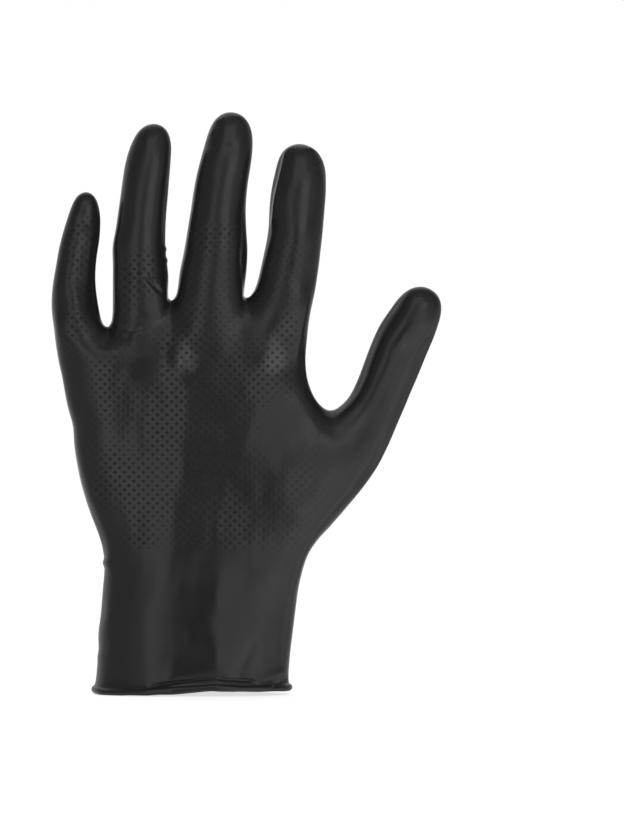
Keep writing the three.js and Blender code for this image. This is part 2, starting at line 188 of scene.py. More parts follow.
# Lines where the film turns away from the glove's back: beyond the line, on its left or right, it drops
# away by the depth over the reach, and the drop ends at the limit. The line is rounded over the soft width.
# The drop fades in up to the first share of the route and out from the second.
TURN_FADES = (0.16, 0.8)
TURNS = (
    {"name": "back, little finger side", "beyond": "left",
     "depth": 2.6, "reach": 15, "soft": 0.8, "limit": 30,
     "route": ((-8.5, 50), (-7.5, 78), (-4, 95), (-2.2, 111), (-2, 128),
               (-1.5, 141), (1.5, 152), (3, 166))},
    {"name": "back, thumb side", "beyond": "right",
     "depth": 2.4, "reach": 16, "soft": 0.8, "limit": 30,
     "route": ((9, 50), (11, 70), (13.5, 86), (20.5, 98), (26, 114),
               (30, 130), (29, 145), (27.5, 152))},
    {"name": "cuff, little finger side", "beyond": "left",
     "depth": 0.8, "reach": 10, "soft": 0.8, "limit": 22,
     "route": ((-17, -6), (-17.5, 20), (-17, 38), (-10, 50), (-9, 62))},
    {"name": "cuff, thumb side", "beyond": "right",
     "depth": 1.3, "reach": 9, "soft": 0.8, "limit": 24,
     "route": ((11, -6), (10.6, 20), (10.6, 40), (9.5, 62))},
    {"name": "little finger dent", "beyond": "right",
     "depth": 2.4, "reach": 4.5, "soft": 1.2, "limit": 11,
     "route": ((-46, 204), (-48.5, 194), (-50, 187), (-50.5, 178), (-51, 171),
               (-49, 165), (-45.5, 155), (-41, 147))},
    {"name": "ring finger side", "beyond": "right",
     "depth": 0.8, "reach": 4, "soft": 1.2, "limit": 8,
     "route": ((-11.5, 218), (-13, 204), (-14.5, 192), (-14, 178), (-13, 164))},
    {"name": "middle finger side", "beyond": "right",
     "depth": 1.1, "reach": 4, "soft": 1.2, "limit": 8,
     "route": ((19.5, 204), (18.2, 194), (17.5, 184), (18.5, 172), (20, 163))},
    {"name": "index finger side", "beyond": "left",
     "depth": 1.6, "reach": 3, "soft": 1.2, "limit": 8,
     "route": ((43, 228), (38, 222), (35.8, 210), (33.2, 193), (29.5, 180), (25.5, 168))},
    {"name": "thumb, web side", "beyond": "left",
     "depth": 1.2, "reach": 6, "soft": 1.0, "limit": 14,
     "route": ((91, 166), (89, 159), (84.5, 148), (79.5, 136), (73, 125), (66.5, 116))},
    {"name": "thumb, slope", "beyond": "right",
     "depth": 3.4, "reach": 12, "soft": 1.0, "limit": 22,
     "route": ((86, 157), (82, 148), (76.5, 136), (69, 125), (60, 114), (50, 102), (41, 90), (32, 78))},
    {"name": "thumb, outer side", "beyond": "right",
     "depth": 1.4, "reach": 4, "soft": 2.0, "limit": 12,
     "route": ((95.5, 155), (92.5, 148), (88, 136), (84, 125), (78, 113),
               (75, 106), (69, 92), (60, 80))},
)

# Creases and ridges: a route, its width, and its height, which is below zero for a crease. They fade at
# their ends as the turns do.
CREASE_FADES = (0.2, 0.8)
CREASES = (
    {"name": "little web upper", "side": "back", "width": 1.2, "height": -0.7,
     "route": ((-36, 153), (-32, 150.5), (-26, 149.5), (-19, 150.5))},
    {"name": "little web lower", "side": "back", "width": 1.8, "height": -0.6,
     "route": ((-36, 149), (-31, 147), (-24, 146.5))},
    {"name": "ring diagonal", "side": "back", "width": 0.8, "height": -0.9,
     "route": ((-19.5, 173), (-16, 168.5), (-12, 164.5))},
    {"name": "index ridge", "side": "back", "width": 0.9, "height": 0.5,
     "route": ((44, 227), (39, 223), (36.6, 212), (34, 196), (32, 189))},
    {"name": "middle joint line", "side": "back", "width": 1.0, "height": -0.25,
     "route": ((2, 225), (10, 226), (20, 225))},
    {"name": "bead slit, long", "side": "back", "width": 0.6, "height": -1.3,
     "route": ((-18, 3.6), (-7, 4.8), (4, 5.4), (16, 5.9))},
    {"name": "bead slit, short", "side": "back", "width": 0.65, "height": -1.2,
     "route": ((10, 5.2), (18, 5.2), (27, 4.8))},
    {"name": "middle fingertip wrinkle, left", "side": "back", "width": 0.5, "height": 0.3,
     "route": ((9.5, 233.5), (8.2, 231.3), (7.2, 229))},
    {"name": "middle fingertip wrinkle, upper", "side": "back", "width": 0.5, "height": 0.3,
     "route": ((9.5, 235.4), (12, 236.4), (15, 237))},
    {"name": "index fingertip wrinkle, upper", "side": "back", "width": 0.5, "height": 0.3,
     "route": ((48, 224.6), (50.6, 223.6), (53, 222.4))},
    {"name": "index fingertip wrinkle, middle", "side": "back", "width": 0.5, "height": 0.3,
     "route": ((50.5, 219.3), (53, 219.7), (55, 220))},
    {"name": "index fingertip wrinkle, lower", "side": "back", "width": 0.5, "height": 0.3,
     "route": ((50.5, 217), (53, 216.8), (55, 216.4))},
    {"name": "ring side bump, upper", "side": "right", "width": 0.9, "height": 0.5,
     "route": ((-12.3, 183.5), (-10, 183), (-5, 183))},
    {"name": "ring side bump, lower", "side": "right", "width": 0.9, "height": 0.5,
     "route": ((-12.3, 178.5), (-10, 178.5), (-5, 178))},
    {"name": "cuff fold, upper", "side": "back", "width": 1.6, "height": -0.5,
     "route": ((27, 22), (23, 15), (19.5, 8), (20.5, 5))},
    {"name": "cuff fold, lower", "side": "back", "width": 1.5, "height": 0.28,
     "route": ((40, 9), (34, 7), (29, 5.5), (27, 3))},
    {"name": "cuff fold, corner", "side": "back", "width": 1.3, "height": -0.6,
     "route": ((41, 6.5), (37, 3.5), (33, 2))},
    {"name": "cuff left fold, upper", "side": "left", "width": 0.8, "height": 0.8,
     "route": ((-46, 53.5), (-38, 53), (-32, 53.5))},
    {"name": "cuff left fold, lower", "side": "left", "width": 1.1, "height": -0.45,
     "route": ((-46, 18), (-39, 18.5), (-33, 19.5))},
    {"name": "cuff left bulge", "side": "left", "width": 5, "height": 0.5,
     "route": ((-46, 25), (-39, 25), (-30, 26))},
    {"name": "cuff left ripple", "side": "left", "width": 1.2, "height": 0.2,
     "route": ((-46, 14), (-39, 14.5), (-30, 15))},
)

# How far the cuff's edge is lifted at each place across the back, and across the palm.
CUFF_EDGE = {
    "back": ((-45, -0.2), (-37, -0.9), (-20, -0.8), (-6, 0), (9, 1.1), (22, 0.8), (42, 0.6)),
    "palm": ((-45, -0.2), (-25, 0.7), (-5, -0.4), (15, 0.6), (30, -0.3), (42, 0.6)),
}
CUFF_EDGE_HEIGHT = 24
CUFF_SIDE_FADE = 12

# The soft, uneven waves of the film: their size across and up, their share of the wave height, and a shift
# that keeps them from lying on each other.
WAVES = (
    {"across": 11, "upward": 17, "share": 1, "shift": 0},
    {"across": 5, "upward": 9, "share": 0.5, "shift": 7},
)

# Boxes, as low and high x and z, whose film is divided finely for the small wrinkles. They reach from the
# back to this y.
FINE_ZONE_DEPTH = 2
FINE_ZONES = (
    {"name": "bead slits", "x": (-19, 29), "z": (1.5, 8)},
    {"name": "middle fingertip", "x": (5, 17), "z": (227, 239)},
    {"name": "index fingertip", "x": (47, 57), "z": (214, 227)},
    {"name": "cuff corner", "x": (26, 46), "z": (1.5, 12)},
    {"name": "ring crease", "x": (-24, -8), "z": (160, 176)},
    {"name": "web folds", "x": (-40, -16), "z": (143, 155)},
    {"name": "index ridge", "x": (28, 46), "z": (186, 232)},
)

# The pits and ridges in the material, as values of the lattice, and the patches where they show more or less
# strongly, as values of a noise and the strengths at them. The pits carry painted shade, the ridges a painted
# highlight.
PIT_LATTICE = (-0.2, 0.75)
RIDGE_LATTICE = (-1.0, -0.6)
PATCH_NOISE = (0.4, 0.62)
PATCH_STRENGTH = (0.3, 0.85)

# The film's finish: how far a ridge of the grip goes to the stretched colour, as a painted highlight, what a
# pit adds to the roughness and keeps of the shine, and the fine relief, whose heights are shares of its depth
# in mm.
RIDGE_HIGHLIGHT = 0.2
PIT_ROUGHNESS = 0.25
PIT_SHINE_SHARE = 0.5
RELIEF_DEPTH = 0.08
GRAIN_HEIGHT = 0.12
RIDGE_HEIGHT = 0.4

# The light panels: their turn and rise from the camera's direction, and the angles that they cover, in
# degrees. Their distance and the place that they face are in metres.
PANELS = (
    {"name": "left_panel", "turn": -22, "rise": 8, "width": 20, "tall": 46},
    {"name": "right_panel", "turn": 30, "rise": 8, "width": 36, "tall": 46},
    {"name": "high_right_panel", "turn": 32, "rise": 26, "width": 26, "tall": 18},
    {"name": "top_panel", "turn": 4, "rise": 48, "width": 44, "tall": 26},
)
PANEL_DISTANCE = 1.6
PANEL_TARGET = Vector((0.01, 0, 0.12))

# The grey surroundings that the film reflects. Their turns are degrees from the camera's direction, and
# their heights go from -1 straight down to 1 straight up. A pair is where a fade starts and ends.
HORIZON_GREY = 0.58
HIGH_GREY = 0.36
HIGH_FROM = 0.45
BACKDROP_GREY = 0.8
BACKDROP_FADE = (0.0, 0.6)
GAP_DEPTH = 0.97
GAP_TURN = (9, 13)
GAP_TOP = (0.12, 0.24)
GAP_BOTTOM = (-0.3, -0.05)
GAP_SHARE_BELOW = 0.3
DIM_RIGHT = {"start": (62, 80), "end": (150, 165), "strength": 0.5}
DIM_LEFT = {"start": (-104, -92), "end": (-46, -34), "strength": 0.5}
TABLE = {"start": (20, 34), "end": (104, 120), "strength": 0.6}
TABLE_TOP = (-0.22, 0.02)

# The camera looks level along +Y, and a millimetre covers the same part of the picture as in the
# photograph. The picture's middle is x and z in millimetres, and the camera's distance is in metres.
PHOTO_ROWS = 826
PHOTO_ROW_MM = 0.4138
PICTURE_MIDDLE = (49.7, 115.4)
CAMERA_DISTANCE = 2.4
SENSOR_MM = 36

# The floor's radius in metres, and how far it lies below the solid in millimetres.
FLOOR_RADIUS = 6
FLOOR_GAP = 0.05


class FilmSizes(bpy.types.PropertyGroup):
    """Sizes of the film and its grip"""
    pitch_across: FloatProperty(
        name="Grip pitch across", description="Distance between two pits of one row of the grip",
        default=3.93 * MM, unit="LENGTH")
    pitch_up: FloatProperty(
        name="Grip pitch up", description="Distance between two rows of pits that stand above each other",
        default=3.64 * MM, unit="LENGTH")
    pit_depth: FloatProperty(
        name="Pit depth", description="Depth of the pits of the grip",
        default=0.04 * MM, unit="LENGTH")
    wave_height: FloatProperty(
        name="Wave height", description="Height of the soft, uneven waves all over the film",
        default=0.22 * MM, unit="LENGTH")
    smoothing: IntProperty(
        name="Smoothing", description="Rounds of smooth subdivision of the film", default=2, min=1, max=3)


class FilmFinish(bpy.types.PropertyGroup):
    """Colours and gloss of the film"""
    film_colour: FloatVectorProperty(
        name="Film colour", description="Colour of the black nitrile", subtype="COLOR", size=3,
        default=(0.017, 0.017, 0.0182), min=0, max=1)
    # Painted highlight: this paler colour is laid on the grip's ridges and on the knuckles, where it also
    # stands for the real paleness of stretched film.
    stretch_and_highlight_colour: FloatVectorProperty(
        name="Stretched colour", description="Paler colour where a knuckle stretches the film",
        subtype="COLOR", size=3, default=(0.048, 0.049, 0.049), min=0, max=1)
    # Painted shade: this darker colour is laid in the pits of the grip.
    pit_shade_colour: FloatVectorProperty(
        name="Pit colour", description="Colour in the pits of the grip", subtype="COLOR", size=3,
        default=(0.011, 0.011, 0.012), min=0, max=1)
    roughness: FloatProperty(
        name="Film roughness", description="How satin the film is", default=0.23, min=0, max=1,
        subtype="FACTOR")
    shine: FloatProperty(
        name="Film shine", description="How strongly the smooth film reflects", default=0.38, min=0, max=1,
        subtype="FACTOR")


class StageLook(bpy.types.PropertyGroup):
    """Floor and light panels of the stage"""
    floor_colour: FloatVectorProperty(
        name="Floor colour", description="Colour of the plain floor", subtype="COLOR", size=3,
        default=(0.86, 0.86, 0.86), min=0, max=1)
    floor_glow: FloatProperty(
        name="Floor glow", description="Light that the floor gives off, as a lit table does", default=0.7,
        min=0)
    left_panel: FloatProperty(
        name="Left panel", description="Brightness of the left light panel", default=0.48, min=0)
    right_panel: FloatProperty(
        name="Right panel", description="Brightness of the right light panel", default=0.38, min=0)
    high_right_panel: FloatProperty(
        name="High right panel", description="Brightness of the small panel above the right one",
        default=0.7, min=0)
    top_panel: FloatProperty(
        name="Top panel", description="Brightness of the light panel above the camera", default=0.6, min=0)


# Plain helpers

def smooth_step(value, low, high):
    share = np.clip((value - low) / (high - low), 0, 1)
    return share * share * (3 - 2 * share)


def only(piece):
    """Makes a piece the only selected and the active object."""
    bpy.ops.object.select_all(action="DESELECT")
    piece.select_set(True)
    bpy.context.view_layer.objects.active = piece


def read_places(piece):
    """The piece's vertex places in millimetres and its vertex normals, as arrays."""
    mesh = piece.data
    count = len(mesh.vertices)
    places = np.empty(count * 3)
    mesh.vertices.foreach_get("co", places)
    normals = np.empty(count * 3)
    mesh.vertex_normals.foreach_get("vector", normals)
    return places.reshape(-1, 3) / MM, normals.reshape(-1, 3)


def write_places(piece, places):
    piece.data.vertices.foreach_set("co", (places * MM).ravel())
    piece.data.update()


def facing(normals, side):
    """How much each vertex looks to a side of the glove, from 0 to 1."""
    return smooth_step(normals @ np.array(SIDES[side], dtype=float), *SIDE_LEAN)


def squared_distance(places, spot):
    """The squared distance of each place to a spot, seen from the back, where 1 is the spot's own size."""
    across = (places[:, 0] - spot["x"]) / spot["across"]
    along = (places[:, 2] - spot["z"]) / spot["along"]
    return across ** 2 + along ** 2


def along_route(places, route):
    """For each place, seen from the back: its distance to a route, the share of the route where it is
    nearest, and 1 where it lies right of the route as the route goes up, or else -1."""
    points = np.array(route, dtype=float)
    spans = np.linalg.norm(np.diff(points, axis=0), axis=1)
    starts = np.concatenate([[0], np.cumsum(spans)])
    flat = places[:, [0, 2]]
    best = np.full(len(places), np.inf)
    share = np.zeros(len(places))
    right = np.ones(len(places))
    for number, span in enumerate(spans):
        direction = (points[number + 1] - points[number]) / span
        offset = flat - points[number]
        along = np.clip(offset @ direction, 0, span)
        distance = np.linalg.norm(offset - along[:, None] * direction, axis=1)
        turn = offset[:, 0] * direction[1] - offset[:, 1] * direction[0]
        if points[-1][1] < points[0][1]:
            turn = -turn
        nearer = distance < best
        best[nearer] = distance[nearer]
        share[nearer] = (starts[number] + along[nearer]) / starts[-1]
        right[nearer] = np.where(turn[nearer] >= 0, 1, -1)
    return best, share, right


def faded_ends(share, fades):
    """1 along a route's middle, fading to 0 at both of its ends."""
    return smooth_step(share, 0, fades[0]) * (1 - smooth_step(share, fades[1], 1))


# The film's mesh

def copy_shell():
    """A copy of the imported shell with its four-sided faces brought back."""
    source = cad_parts[SHELL]
    piece = bpy.data.objects.new("nitrile_film", source.data.copy())
    piece.data.materials.clear()
    bpy.context.collection.objects.link(piece)
    only(piece)
    bpy.ops.object.mode_set(mode="EDIT")
    bpy.ops.mesh.select_all(action="SELECT")
    bpy.ops.mesh.remove_doubles(threshold=0.01 * MM)
    bpy.ops.mesh.tris_convert_to_quads(face_threshold=math.pi, shape_threshold=math.pi)
    bpy.ops.object.mode_set(mode="OBJECT")
    return piece


def select_inner_skin(piece):
    """Selects the faces that can't be reached from the highest fingertip without crossing the bead."""
    mesh = bmesh.new()
    mesh.from_mesh(piece.data)
    mesh.faces.ensure_lookup_table()
    above = [face.calc_center_median().z > BEAD_TOP * MM for face in mesh.faces]
    top = max(mesh.verts, key=lambda vertex: vertex.co.z)
    waiting = list(top.link_faces)
    outer = {face.index for face in waiting}
    while waiting:
        for edge in waiting.pop().edges:
            for face in edge.link_faces:
                if above[face.index] and face.index not in outer:
                    outer.add(face.index)
                    waiting.append(face)
    for face in mesh.faces:
        face.select_set(above[face.index] and face.index not in outer)
    mesh.to_mesh(piece.data)
    mesh.free()


def split_off_lining(piece):
    """Parts the inner skin from the outer skin and its bead, and returns it."""
    select_inner_skin(piece)
    bpy.ops.object.mode_set(mode="EDIT")
    bpy.ops.mesh.separate(type="SELECTED")
    bpy.ops.object.mode_set(mode="OBJECT")
    lining = [other for other in bpy.context.selected_objects if other is not piece][0]
    only(piece)
    return lining


def round_off(piece, levels):
    only(piece)
    rounding = piece.modifiers.new("rounding", "SUBSURF")
    rounding.levels = levels
    rounding.render_levels = levels
    rounding.use_limit_surface = False
    bpy.ops.object.modifier_apply(modifier=rounding.name)


def divide(piece, wanted, cuts_up, cuts_across):
    """Divides the faces whose corners are all wanted into smaller ones."""
    mesh = bmesh.new()
    mesh.from_mesh(piece.data)
    fine = mesh.faces.layers.int.new("fine")
    for face in mesh.faces:
        face[fine] = int(all(wanted[vertex.index] for vertex in face.verts))
    for cuts, upright in ((cuts_up, True), (cuts_across, False)):
        chosen = []
        for edge in {edge for face in mesh.faces if face[fine] for edge in face.edges}:
            way = edge.verts[1].co - edge.verts[0].co
            if (abs(way.z) > math.hypot(way.x, way.y)) == upright:
                chosen.append(edge)
        if cuts:
            bmesh.ops.subdivide_edges(mesh, edges=chosen, cuts=cuts, use_grid_fill=True)
    mesh.faces.layers.int.remove(fine)
    mesh.to_mesh(piece.data)
    mesh.free()


def grip_share(places, normals):
    """How much of the grip each place carries: none on the cuff, the sides, the thumb and the tips."""
    x, z = places[:, 0], places[:, 2]
    top = np.zeros(len(places))
    for finger in GRIP_TOPS:
        inside = (x >= finger["left"]) & (x < finger["right"])
        top[inside] = finger["top"]
    share = smooth_step(z, GRIP_BOTTOM - GRIP_FADE_BELOW, GRIP_BOTTOM + GRIP_FADE_ABOVE)
    share *= 1 - smooth_step(z, top - GRIP_TIP_FADE, top)
    share *= 1 - smooth_step(x, GRIP_THUMB_SIDE - GRIP_THUMB_FADE, GRIP_THUMB_SIDE)
    for patch in SMOOTH_PATCHES:
        share *= 1 - PATCH_SMOOTHNESS * np.exp(-squared_distance(places, patch) ** 2)
    return share * smooth_step(np.abs(normals[:, 1]), *GRIP_LEAN)


def in_fine_zone(places):
    wanted = np.zeros(len(places), dtype=bool)
    for zone in FINE_ZONES:
        inside = (places[:, 0] > zone["x"][0]) & (places[:, 0] < zone["x"][1])
        inside &= (places[:, 2] > zone["z"][0]) & (places[:, 2] < zone["z"][1])
        wanted |= inside
    return wanted & (places[:, 1] < FINE_ZONE_DEPTH)


def mound_heights(places, normals):
    """How far the broad forms push each place outwards, and how far they lift it."""
    outward = np.zeros(len(places))
    upward = np.zeros(len(places))
    for mound in MOUNDS:
        push = mound["height"] * np.exp(-squared_distance(places, mound)) * facing(normals, mound["side"])
        if mound["side"] == "tip":
            upward += push
        else:
            outward += push
    return outward, upward


def turn_drops(places, normals):
    """How far each place of the back drops away beyond the turns."""
    drops = np.zeros(len(places))
    for turn in TURNS:
        distance, share, right = along_route(places, turn["route"])
        beyond = distance * right * (1 if turn["beyond"] == "right" else -1)
        beyond = turn["soft"] * np.logaddexp(0, beyond / turn["soft"])
        drop = turn["depth"] * (1 - np.exp(-beyond / turn["reach"])) * faded_ends(share, TURN_FADES)
        drops += drop * np.exp(-((distance / turn["limit"]) ** 4))
    return drops * facing(normals, "back")


def crease_heights(places, normals, narrowest):
    """How far the creases and ridges move each place. Narrower ones than the narrowest are made as wide."""
    heights = np.zeros(len(places))
    for crease in CREASES:
        distance, share, _ = along_route(places, crease["route"])
        profile = np.exp(-((distance / max(crease["width"], narrowest)) ** 2))
        profile *= faded_ends(share, CREASE_FADES)
        heights += crease["height"] * profile * facing(normals, crease["side"])
    return heights


def wave_heights(places):
    """The soft, uneven waves at each place, as shares of the wave height."""
    heights = np.zeros(len(places))
    for wave in WAVES:
        for index, (x, y, z) in enumerate(places):
            spot = Vector((x / wave["across"], y / wave["across"] + wave["shift"], z / wave["upward"]))
            heights[index] += wave["share"] * noise.noise(spot)
    return heights


def shape_film(places, normals, wave_height, narrowest=0):
    """The places after the knuckles, turns, creases, waves and the uneven cuff edge. The normals point out
    of the glove on both skins, so that both move together."""
    outward, upward = mound_heights(places, normals)
    move = FULLNESS + outward - turn_drops(places, normals) + crease_heights(places, normals, narrowest)
    move += wave_heights(places) * wave_height
    places = places + normals * move[:, None]
    places[:, 2] += upward
    for bend in BENDS:
        across = (places[:, 0] - bend["x"]) / bend["across"]
        along = (places[:, 2] - bend["z"]) / bend["along"]
        places[:, 0] += bend["shift"] * np.exp(-(across ** 4 + along ** 2))
    for side, edge in CUFF_EDGE.items():
        across, lift = np.array(edge).T
        low = 1 - smooth_step(places[:, 2], 0, CUFF_EDGE_HEIGHT)
        here = smooth_step(places[:, 1] * SIDES[side][1], -CUFF_SIDE_FADE, CUFF_SIDE_FADE)
        places[:, 2] += np.interp(places[:, 0], across, lift) * low * here
    return places


def stretch_highlight_share(places, normals):
    """How much each place of the back is stretched by a knuckle, which is also where the painted knuckle
    highlight lies.
    """
    share = np.zeros(len(places))
    for knuckle in STRETCH_HIGHLIGHTS:
        share += np.exp(-squared_distance(places, knuckle) ** 2)
    return share * facing(normals, "back")


def keep_share(piece, name, share):
    """Keeps a share for each vertex as an attribute, which the material reads."""
    kept = piece.data.attributes.new(name, "FLOAT", "POINT")
    kept.data.foreach_set("value", share)


def press_grip(piece, sizes):
    """Presses the staggered, diamond-shaped pits of the grip into the back and the palm."""
    places, normals = read_places(piece)
    across = 2 * np.pi * places[:, 0] / (sizes.pitch_across / MM)
    upward = 2 * np.pi * places[:, 2] / (sizes.pitch_up / MM)
    lattice = np.minimum(np.cos(across + upward), np.cos(across - upward))
    share = grip_share(places, normals)
    keep_share(piece, "grip", share)
    # This share of stretched film also places the painted knuckle highlight.
    keep_share(piece, "stretch_highlight", stretch_highlight_share(places, normals))
    depth = sizes.pit_depth / MM * smooth_step(lattice, *PIT_SLOPE) * share
    write_places(piece, places - normals * depth[:, None])


def join_skins(film, lining):
    """Joins the inner skin to the bead with one band of faces."""
    bpy.ops.object.select_all(action="DESELECT")
    lining.select_set(True)
    film.select_set(True)
    bpy.context.view_layer.objects.active = film
    bpy.ops.object.join()
    bpy.ops.object.mode_set(mode="EDIT")
    bpy.ops.mesh.select_mode(type="EDGE")
    bpy.ops.mesh.select_all(action="DESELECT")
    bpy.ops.mesh.select_non_manifold(extend=False, use_wire=False, use_boundary=True,
                                     use_multi_face=False, use_non_contiguous=False, use_verts=False)
    bpy.ops.mesh.bridge_edge_loops()
    bpy.ops.mesh.select_all(action="SELECT")
    bpy.ops.mesh.normals_make_consistent(inside=False)
    bpy.ops.object.mode_set(mode="OBJECT")


def check_closed(piece):
    """Raises an error where an edge of the piece doesn't join exactly two faces."""
    mesh = bmesh.new()
    mesh.from_mesh(piece.data)
    open_edges = sum(1 for edge in mesh.edges if not edge.is_manifold)
    mesh.free()
    if open_edges:
        raise RuntimeError(f"{piece.name} has {open_edges} open edges")


class Nodes:
    """The nodes of a material or of the world, with short ways to add and join them."""

    def __init__(self, owner):
        self.tree = owner.node_tree

    def add(self, kind, inputs=None, **settings):
        node = self.tree.nodes.new(kind)
        for name, value in settings.items():
            setattr(node, name, value)
        for socket, value in (inputs or {}).items():
            if isinstance(value, bpy.types.NodeSocket):
                self.tree.links.new(value, node.inputs[socket])
            else:
                node.inputs[socket].default_value = value
        return node

    def math(self, operation, first, second=0.0):
        return self.add("ShaderNodeMath", {0: first, 1: second}, operation=operation).outputs[0]

    def spread(self, value, low, high, start, end):
        """Maps a value from one range smoothly to another."""
        ranges = {"Value": value, "From Min": low, "From Max": high, "To Min": start, "To Max": end}
        return self.add("ShaderNodeMapRange", ranges, interpolation_type="SMOOTHSTEP").outputs["Result"]

    def blend(self, share, first, second):
        """Mixes two colours."""
        inputs = {"Factor": share, "A": first, "B": second}
        return self.add("ShaderNodeMix", inputs, data_type="RGBA").outputs["Result"]

    def noise(self, place, **inputs):
        return self.add("ShaderNodeTexNoise", {"Vector": place, **inputs}).outputs["Fac"]


def grip_lattice(nodes, place, sizes):
    """The staggered lattice of the grip: 1 in the middle of each diamond-shaped pit, -1 on the ridges."""
    parts = nodes.add("ShaderNodeSeparateXYZ", {"Vector": place})
    across = nodes.math("MULTIPLY", parts.outputs["X"], 2 * math.pi / sizes.pitch_across)
    upward = nodes.math("MULTIPLY", parts.outputs["Z"], 2 * math.pi / sizes.pitch_up)
    rising = nodes.math("COSINE", nodes.math("SUBTRACT", across, upward))
    falling = nodes.math("COSINE", nodes.math("ADD", across, upward))
    return nodes.math("MINIMUM", rising, falling)


def film_material(finish, sizes):
    """Satin black nitrile: duller in the pits of the grip, which also get painted shade; a painted highlight
    on the grip's ridges; and paler where a knuckle stretches it, partly a painted highlight.
    """
    material = bpy.data.materials.new("satin_nitrile")
    material.use_nodes = True
    shader = material.node_tree.nodes["Principled BSDF"]
    nodes = Nodes(material)
    place = nodes.add("ShaderNodeTexCoord").outputs["Object"]

    # The grip shows more or less strongly in patches
    lattice = grip_lattice(nodes, place, sizes)
    grip = nodes.add("ShaderNodeAttribute", attribute_name="grip").outputs["Fac"]
    patches = nodes.noise(place, Scale=45, Detail=2)
    strength = nodes.math("MULTIPLY", grip, nodes.spread(patches, *PATCH_NOISE, *PATCH_STRENGTH))
    # The pits carry painted shade in the colour as well as roughness, shine and relief; the ridges carry a
    # painted highlight as well as relief.
    pits = nodes.math("MULTIPLY", nodes.spread(lattice, *PIT_LATTICE, 0.0, 1.0), strength)
    ridges = nodes.math("MULTIPLY", nodes.spread(lattice, *RIDGE_LATTICE, 1.0, 0.0), strength)

    # Colour, with painted shade in the pits and painted highlights on the ridges and the knuckles
    stretch_highlight = nodes.add("ShaderNodeAttribute", attribute_name="stretch_highlight").outputs["Fac"]
    # Painted highlight on the grip's ridges and on the knuckles, where it also stands for the real paleness
    # of stretched film.
    pale = nodes.math("ADD", nodes.math("MULTIPLY", ridges, RIDGE_HIGHLIGHT), stretch_highlight)
    film = nodes.blend(pale, (*finish.film_colour, 1), (*finish.stretch_and_highlight_colour, 1))
    colour = nodes.blend(pits, film, (*finish.pit_shade_colour, 1))

    # Roughness and shine
    cloud = nodes.noise(place, Scale=90, Detail=4, Roughness=0.6)
    rough = nodes.spread(cloud, 0.3, 0.7, finish.roughness - 0.03, finish.roughness + 0.04)
    rough = nodes.math("ADD", rough, nodes.math("MULTIPLY", pits, PIT_ROUGHNESS))
    shine = nodes.spread(pits, 0.0, 1.0, finish.shine, PIT_SHINE_SHARE * finish.shine)

    # Fine relief
    grain = nodes.noise(place, Scale=1500, Detail=2)
    height = nodes.math("SUBTRACT", nodes.math("MULTIPLY", grain, GRAIN_HEIGHT), pits)
    height = nodes.math("ADD", height, nodes.math("MULTIPLY", ridges, RIDGE_HEIGHT))
    bump = nodes.add("ShaderNodeBump", {"Strength": 0.5, "Distance": RELIEF_DEPTH * MM, "Height": height})

    links = material.node_tree.links
    links.new(colour, shader.inputs["Base Color"])
    links.new(rough, shader.inputs["Roughness"])
    links.new(shine, shader.inputs["Specular IOR Level"])
    links.new(bump.outputs["Normal"], shader.inputs["Normal"])
    shader.inputs["IOR"].default_value = 1.5
    return material


class GLOVE_OT_make_film(bpy.types.Operator):
    """Models the whole film of the glove: outer skin, inner skin and rolled bead"""
    bl_idname = "glove.make_film"
    bl_label = "Make film"

    def execute(self, context):
        sizes = context.scene.glove_film_sizes
        film = copy_shell()
        lining = split_off_lining(film)
        round_off(film, sizes.smoothing)
        round_off(lining, LINING_SMOOTHING)
        places, normals = read_places(film)
        on_back = (grip_share(places, normals) > FINE_GRIP_BACK) & (normals[:, 1] < 0)
        divide(film, on_back | in_fine_zone(places), cuts_up=2, cuts_across=1)
        places, normals = read_places(film)
        on_palm = (grip_share(places, normals) > FINE_GRIP_PALM) & (normals[:, 1] > 0)
        divide(film, on_palm, cuts_up=1, cuts_across=0)
        for piece, outward, narrowest in ((film, 1, 0), (lining, -1, LINING_CREASE)):
            places, normals = read_places(piece)
            write_places(piece, shape_film(places, normals * outward, sizes.wave_height / MM, narrowest))
        press_grip(film, sizes)
        join_skins(film, lining)
        check_closed(film)
        film.data.materials.append(film_material(context.scene.glove_film_finish, sizes))
        only(film)
        bpy.ops.object.shade_smooth()
        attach(film, "root")
        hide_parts(SHELL)
        return {"FINISHED"}


# The stage

def floor_material(look):
    material = bpy.data.materials.new("pale_floor")
    material.use_nodes = True
    shader = material.node_tree.nodes["Principled BSDF"]
    shader.inputs["Base Color"].default_value = (*look.floor_colour, 1)
    shader.inputs["Roughness"].default_value = 0.9
    shader.inputs["Specular IOR Level"].default_value = 0.1
    shader.inputs["Emission Color"].default_value = (1, 1, 1, 1)
    shader.inputs["Emission Strength"].default_value = look.floor_glow
    return material


def light_panel(name, turn, rise, width, tall, brightness):
    """A large soft panel that faces the glove."""
    turn, rise = math.radians(turn), math.radians(rise)
    toward = Vector((math.sin(turn) * math.cos(rise), -math.cos(turn) * math.cos(rise), math.sin(rise)))
    light = bpy.data.lights.new(name, "AREA")
    light.shape = "RECTANGLE"
    light.size = 2 * PANEL_DISTANCE * math.tan(math.radians(width) / 2)
    light.size_y = 2 * PANEL_DISTANCE * math.tan(math.radians(tall) / 2)
    light.energy = brightness * math.pi * light.size * light.size_y
    lamp = bpy.data.objects.new(name, light)
    lamp.location = PANEL_TARGET + toward * PANEL_DISTANCE
    lamp.rotation_euler = (-toward).to_track_quat("-Z", "Y").to_euler()
    lamp.visible_camera = False
    bpy.context.collection.objects.link(lamp)


